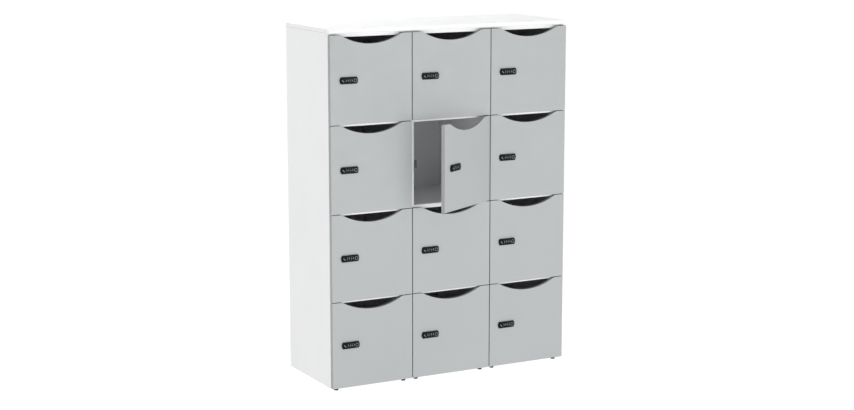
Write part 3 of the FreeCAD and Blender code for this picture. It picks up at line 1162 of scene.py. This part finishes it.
@dataclass
class CodeWheels:
    """Number wheels of a lock on their axle."""

    shown_numbers: tuple[int, ...] = (0, 0, 0, 0)
    pitch: float = 0.0095
    radius: float = 0.009
    width: float = 0.0069
    number_count: int = 10
    corner_width: float = 0.0005
    corner_hollow: float = 0.2
    axle_radius: float = 0.0015
    axle_half: float = 0.0205
    digit_size: float = 0.0062
    digit_weight: float = 0.00015
    digit_lift: float = 0.00006
    digit_steps: int = 3
    corner_steps: int = 4
    axle_sides: int = 24
    broken_edge: float = 0.0002

    @property
    def places(self) -> list[float]:
        """Places of the wheels along the axle."""
        count = len(self.shown_numbers)
        return [self.pitch * (i - (count - 1) / 2) for i in range(count)]

    def ring(self) -> Piece:
        """Model one wheel: a flat for each number and a hollow groove between two flats.

        Returns:
            The wheel, in the middle of the axle.
        """
        start = -self.width / 2 * ALONG_X
        wheel = rod("code_wheels", self.radius, start, self.width * ALONG_X, self.number_count)
        half_step = WHOLE_TURN / self.number_count / 2
        first = wheel.data.vertices[0].co
        turn = math.atan2(first.z, -first.y) - half_step
        wheel.data.transform(Matrix.Rotation(turn, 4, "X"))
        with shaping(wheel, Pick.EDGES, lambda middle, way: abs(way.x) > SAME_WAY):
            bpy.ops.mesh.bevel(
                offset=self.corner_width,
                segments=self.corner_steps,
                profile=self.corner_hollow,
                affect="EDGES",
            )
        return ease(wheel, self.broken_edge)

    def digit(self, number: int) -> Piece:
        """Model one raised number on its flat.

        Args:
            number: The number, from 0 to 9.

        Returns:
            The number, as a mesh.
        """
        step = WHOLE_TURN / self.number_count
        flat = self.radius * math.cos(step / 2)
        lay_down()
        bpy.ops.object.text_add()
        text = bpy.context.object
        text.name = "digit"
        text.data.body = str(number)
        text.data.size = self.digit_size
        text.data.extrude = self.digit_lift
        text.data.offset = self.digit_weight
        text.data.resolution_u = self.digit_steps
        text.data.align_x = "CENTER"
        text.data.align_y = "CENTER"
        take_up(text)
        bpy.ops.object.convert(target="MESH")
        digit = bpy.context.object
        stand_up = Matrix.Rotation(math.radians(90), 4, "X")
        onto = Matrix.Translation((0, -flat, 0))
        digit.matrix_world = Matrix.Rotation(number * step, 4, "X") @ onto @ stand_up
        return settle(digit)

    def build(self, palette: Palette) -> Piece:
        """Model and finish the wheels and the axle.

        Args:
            palette: The locker's finishes.

        Returns:
            The wheels, in the lock's own frame.
        """
        wheel = coat(self.ring(), palette["black_moulding"])
        digits = [coat(self.digit(number), palette["pale_ink"]) for number in range(self.number_count)]
        gather(wheel, digits)
        start = -self.axle_half * ALONG_X
        axle = ease(rod("axle", self.axle_radius, start, -2 * start, self.axle_sides), self.broken_edge)
        coat(axle, palette["nickel_plate"])
        step = WHOLE_TURN / self.number_count
        copies = []
        for place, number in zip(self.places, self.shown_numbers):
            turn = Matrix.Rotation(-number * step, 4, "X")
            copies.append(copy_to(wheel, "wheel", Matrix.Translation(place * ALONG_X) @ turn))
        bpy.data.objects.remove(wheel)
        whole = gather(axle, copies)
        whole.name = "code_wheels"
        return whole


# Sub-assemblies of the locker


@dataclass
class Frame:
    """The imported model, with its joints by name."""

    nodes: dict[str, Piece]
    joints: dict[str, dict]
    tags: list[str] = field(default_factory=list)

    @classmethod
    def load(cls) -> "Frame":
        """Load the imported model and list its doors.

        Returns:
            The frame.
        """
        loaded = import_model()
        joints = {joint["name"]: joint for joint in loaded["joints"]}
        start = "door_hinge_"
        tags = sorted(name.removeprefix(start) for name in joints if name.startswith(start))
        return cls(loaded["nodes"], joints, tags)

    def box(self, node: str) -> tuple[Vector, Vector]:
        """Give the lowest and the highest corner of a node.

        Args:
            node: Name of the node.

        Returns:
            The two corners.
        """
        corners = [Vector(corner) for corner in self.nodes[node].bound_box]
        return corners[0], corners[6]

    def lock_place(self, tag: str) -> Matrix:
        """Give the turn and place of a door's lock.

        Args:
            tag: Row and column of the door.

        Returns:
            Matrix from the lock's own frame to the row frame.
        """
        axle = self.joints[f"code_turn_{tag}"]
        across = Vector(axle["axis"])
        inward = Vector(self.joints[f"lock_turn_{tag}"]["axis"])
        place = Matrix((across, inward, across.cross(inward))).transposed().to_4x4()
        place.translation = Vector(axle["pos_m"])
        return place


class Locks:
    """The locks and hinge cups of all doors."""

    def __init__(self, frame: Frame, palette: Palette) -> None:
        """Work on the doors of one frame with one set of finishes."""
        self.frame = frame
        self.palette = palette
        self.case = LockCase()
        self.knob = LockKnob()
        self.wheels = CodeWheels()

    def hinge_cups(self, tag: str) -> Piece:
        """Copy the hinge cups and pins of a door from its fittings, in the lock's own frame.

        Args:
            tag: Row and column of the door.

        Returns:
            The cups and pins of the door.
        """
        home = self.frame.lock_place(tag).inverted()
        copy = smooth_copy(self.frame.nodes[f"door_fittings_{tag}"], "hinge_cups", home)
        near_lock = self.case.height
        with shaping(copy, Pick.FACES, lambda middle, way: abs(middle.z) < near_lock):
            bpy.ops.mesh.delete(type="FACE")
        return coat(copy, self.palette["nickel_plate"])

    def build(self) -> None:
        """Model each piece once and copy it to every door."""
        case = self.case.build(self.palette, self.wheels.places, self.knob.place)
        knob = self.knob.build(self.palette)
        wheels = self.wheels.build(self.palette)
        cups = self.hinge_cups(self.frame.tags[0])
        for tag in self.frame.tags:
            place = self.frame.lock_place(tag)
            for piece, body, node, slot in (
                (case, "door", "door_fittings", "black_fittings"),
                (cups, "door", "", "hinge_steel"),
                (knob, "knob", "lock_knob", "black_fittings"),
                (wheels, "wheels", "code_wheels", "black_plastic"),
            ):
                copy = copy_to(piece, f"{piece.name}_of_{tag}", place)
                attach(copy, f"{body}_{tag}")
                if node:
                    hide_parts(f"{node}_{tag}")
            LOG.info("lock and hinge cups of door %s", tag)
        for piece in (case, knob, wheels, cups):
            bpy.data.objects.remove(piece)


class Doors:
    """The pale grey doors, in the shape of their solids with smooth scoops."""

    def __init__(self, frame: Frame, palette: Palette) -> None:
        """Work on the doors of one frame with one set of finishes."""
        self.frame = frame
        self.palette = palette
        self.thickness = LockCase().door_thickness
        self.face = LockCase().door_face

    def build(self) -> None:
        """Copy the door to every place and finish it, with its edging square to its faces."""
        made = {}
        first = self.frame.tags[0]
        home = self.frame.lock_place(first).inverted()
        panel = smooth_copy(self.frame.nodes[f"door_{first}"], "door_panel", home)
        for tag in self.frame.tags:
            place = self.frame.lock_place(tag)
            facing = place.to_3x3() @ ALONG_Y
            middle = place.translation.dot(facing) + self.face + self.thickness / 2
            key = (round(facing.x, 4), round(middle, 5))
            if key not in made:
                made[key] = self.palette.door_laminate(tag, facing, middle, self.thickness / 2)
            copy = coat(copy_to(panel, f"door_panel_of_{tag}", place), made[key])
            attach(copy, f"door_{tag}")
            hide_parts(f"door_{tag}")
            LOG.info("door %s", tag)
        bpy.data.objects.remove(panel)


@dataclass
class LevellingFeet:
    """Fluted feet with threaded studs, four under each column."""

    column_count: int = 3
    radius: float = 0.010
    top_radius: float = 0.009
    height: float = 0.013
    rim_width: float = 0.0008
    flute_count: int = 20
    flute_share: float = 0.95
    stud_radius: float = 0.004
    stud_length: float = 0.015
    thread_count: int = 12
    thread_share: float = 0.88
    stud_sides: int = 16
    half_turn: float = 0.5
    turn_room: float = 0.1

    def pad(self) -> Piece:
        """Model the fluted pad, which narrows upwards.

        Returns:
            The pad, with the middle of its sole at the origin.
        """
        pad = rod("foot", self.radius, Vector(), self.height * UP, 3 * self.flute_count)
        flute(pad, Vector(), UP, self.flute_count, self.flute_share)
        with shaping(pad, Pick.FACES, lambda middle, way: way.z > SAME_WAY):
            share = self.top_radius / self.radius
            bpy.ops.transform.resize(value=(share, share, 1.0), center_override=self.height * UP)
        return ease(pad, self.rim_width)

    def stud(self) -> Piece:
        """Model the threaded stud, sunk a little into the pad.

        Returns:
            The stud.
        """
        start = (self.height - OVERRUN) * UP
        stud = rod("stud", self.stud_radius, start, (self.stud_length + OVERRUN) * UP, self.stud_sides)
        with shaping(stud, Pick.EDGES, lambda middle, way: abs(way.z) > SAME_WAY):
            bpy.ops.mesh.subdivide(number_cuts=2 * self.thread_count - 1)
        step = (self.stud_length + OVERRUN) / self.thread_count

        def in_groove(middle: Vector, way: Vector) -> bool:
            """Tell the rings halfway between two crests of the thread."""
            turn = (middle.z - start.z) / step
            return abs(way.z) < HAIR and abs(turn - math.floor(turn) - self.half_turn) < self.turn_room

        with shaping(stud, Pick.EDGES, in_groove):
            share = self.thread_share
            bpy.ops.transform.resize(value=(share, share, 1.0), center_override=Vector())
        take_up(stud)
        bpy.ops.object.shade_smooth_by_angle(angle=FINE_SMOOTH_ANGLE)
        return stud

    def build(self, frame: Frame, palette: Palette) -> Piece:
        """Model one foot and stand a copy at each corner of every column.

        Args:
            frame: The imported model, whose feet show the places.
            palette: The locker's finishes.

        Returns:
            All the feet, as one piece.
        """
        pad = coat(self.pad(), palette["black_moulding"])
        foot = gather(pad, [coat(self.stud(), palette["nickel_plate"])])
        low, high = frame.box("levelling_feet")
        side_low, side_high = frame.box("side_panels")
        pitch = (side_high.x - side_low.x) / self.column_count
        span = high.x - low.x - 2 * self.radius - (self.column_count - 1) * pitch
        copies = []
        for column in range(self.column_count):
            left = low.x + self.radius + column * pitch
            for x in (left, left + span):
                for y in (low.y + self.radius, high.y - self.radius):
                    copies.append(copy_to(foot, "levelling_foot", Matrix.Translation((x, y, 0.0))))
        bpy.data.objects.remove(foot)
        feet = gather(copies[0], copies[1:])
        feet.name = "feet_of_carcass"
        return feet


class Carcass:
    """The boards, hinge arms, keepers, feet and screws that stand still."""

    boards = ("top_panel", "side_panels", "sub_tops", "bottom_panels", "shelves", "back_panels")
    fittings = {
        "dowels": ("beech", "beech"),
        "hinge_arms": ("nickel_plate", "hinge_steel"),
        "hinge_plates": ("nickel_plate", "hinge_steel"),
        "lock_keepers": ("grey_powder_coat", "grey_steel"),
        "fixing_screws": ("nickel_plate", "hinge_steel"),
    }

    def __init__(self, frame: Frame, palette: Palette) -> None:
        """Work on the carcass of one frame with one set of finishes."""
        self.frame = frame
        self.palette = palette
        self.feet = LevellingFeet()

    def build(self) -> None:
        """Finish the boards and fittings of the carcass and stand it on its feet."""
        white = self.palette.carcass_board(*self.frame.box("side_panels"))
        for node in self.boards:
            coat(self.frame.nodes[node], white)
            LOG.info("finish of %s", node)
        feet = self.feet.build(self.frame, self.palette)
        self.put(feet, "levelling_feet", "black_plastic")
        for node, (finish, slot) in self.fittings.items():
            copy = smooth_copy(self.frame.nodes[node], f"{node}_of_carcass", Matrix.Identity(4))
            self.put(coat(copy, self.palette[finish]), node, slot)

    @staticmethod
    def put(piece: Piece, node: str, slot: str) -> None:
        """Put a finished piece in the place of a node of the carcass.

        Args:
            piece: The finished piece.
            node: The node that it stands for.
            slot: Its material slot; not used.
        """
        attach(piece, "carcass")
        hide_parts(node)
        LOG.info("%s of the carcass", node)


# Floor, light and camera


@dataclass(frozen=True)
class SoftBox:
    """A soft light that looks at a point and doesn't show itself."""

    name: str
    place: Place
    target: Place
    width: float
    height: float
    power: float

    def build(self) -> None:
        """Hang the light."""
        lamp = bpy.data.lights.new(self.name, "AREA")
        lamp.shape = "RECTANGLE"
        lamp.size = self.width
        lamp.size_y = self.height
        lamp.energy = self.power
        box = bpy.data.objects.new(self.name, lamp)
        box.location = self.place
        aim = Vector(self.target) - Vector(self.place)
        box.rotation_euler = aim.to_track_quat("-Z", "Y").to_euler()
        box.visible_camera = False
        bpy.context.scene.collection.objects.link(box)


@dataclass
class Studio:
    """Plain pale floor in a soft white room, lit from the front, the left and above."""

    floor_size: float = 60.0
    floor_glow: float = 0.97
    floor_grey: float = 0.10
    floor_roughness: float = 0.9
    room_strength: float = 0.38
    boxes: tuple[SoftBox, ...] = (
        SoftBox("front_light", (0.8, -5.6, 0.85), (0.0, 0.0, 0.85), 6.0, 1.4, 122.0),
        SoftBox("side_light", (-4.8, -0.4, 0.95), (0.0, 0.0, 0.9), 1.8, 1.8, 26.0),
        SoftBox("overhead_light", (-0.6, 1.9, 5.2), (0.0, 0.3, 1.6), 4.0, 3.0, 196.0),
    )

    def floor(self) -> None:
        """Lay the floor, which glows so that it stays pale close to the feet."""
        lay_down()
        bpy.ops.mesh.primitive_plane_add(size=self.floor_size)
        floor = bpy.context.object
        floor.name = "floor"
        paint = bpy.data.materials.new("pale_floor")
        paint.use_nodes = True
        shader = paint.node_tree.nodes["Principled BSDF"]
        board = NodeBoard(paint.node_tree)
        grey = (self.floor_grey, self.floor_grey, self.floor_grey, 1.0)
        board.feed(shader, Base_Color=grey, Roughness=self.floor_roughness, Specular_IOR_Level=0.0)
        board.feed(shader, Emission_Color=WHITE, Emission_Strength=self.floor_glow)
        coat(floor, paint)

    def room(self) -> None:
        """Set the soft light of the room, which looks white from everywhere."""
        world = bpy.data.worlds.new("soft_room")
        world.use_nodes = True
        board = NodeBoard(world.node_tree)
        light = world.node_tree.nodes["Background"]
        board.feed(light, Color=WHITE, Strength=self.room_strength)
        wall = board.feed(board.add("ShaderNodeBackground"), Color=WHITE, Strength=1.0)
        path = board.add("ShaderNodeLightPath")
        mix = board.add("ShaderNodeMixShader")
        sources = (path.outputs["Is Camera Ray"], light.outputs["Background"], wall.outputs["Background"])
        for socket, source in zip(mix.inputs, sources):
            board.plug(socket, source)
        board.feed(world.node_tree.nodes["World Output"], Surface=mix.outputs["Shader"])
        bpy.context.scene.world = world

    def build(self) -> None:
        """Lay the floor and set the light."""
        bpy.context.scene.view_settings.view_transform = "Standard"
        self.floor()
        self.room()
        for box in self.boxes:
            box.build()


@dataclass
class PhotoView:
    """Camera at the photograph's viewing angle."""

    place: Place = (-3.824, -7.008, 2.2045)
    turn_degrees: float = 28.27
    dip_degrees: float = 10.17
    lens: float = 74.75
    sensor: float = 36.0

    def build(self) -> None:
        """Make the camera and give it to the scene."""
        lens = bpy.data.cameras.new("photo_view")
        lens.sensor_width = self.sensor
        lens.lens = self.lens
        camera = bpy.data.objects.new("photo_view", lens)
        camera.location = self.place
        camera.rotation_euler = (math.radians(90 - self.dip_degrees), 0, math.radians(-self.turn_degrees))
        bpy.context.scene.collection.objects.link(camera)
        bpy.context.scene.camera = camera


def main() -> None:
    """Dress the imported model, light it and look at it."""
    logging.basicConfig(level=logging.INFO, format="%(name)s: %(message)s")
    frame = Frame.load()
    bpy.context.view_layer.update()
    palette = Palette(Effects())
    Carcass(frame, palette).build()
    Doors(frame, palette).build()
    Locks(frame, palette).build()
    Studio().build()
    PhotoView().build()


if __name__ == "__main__":
    main()
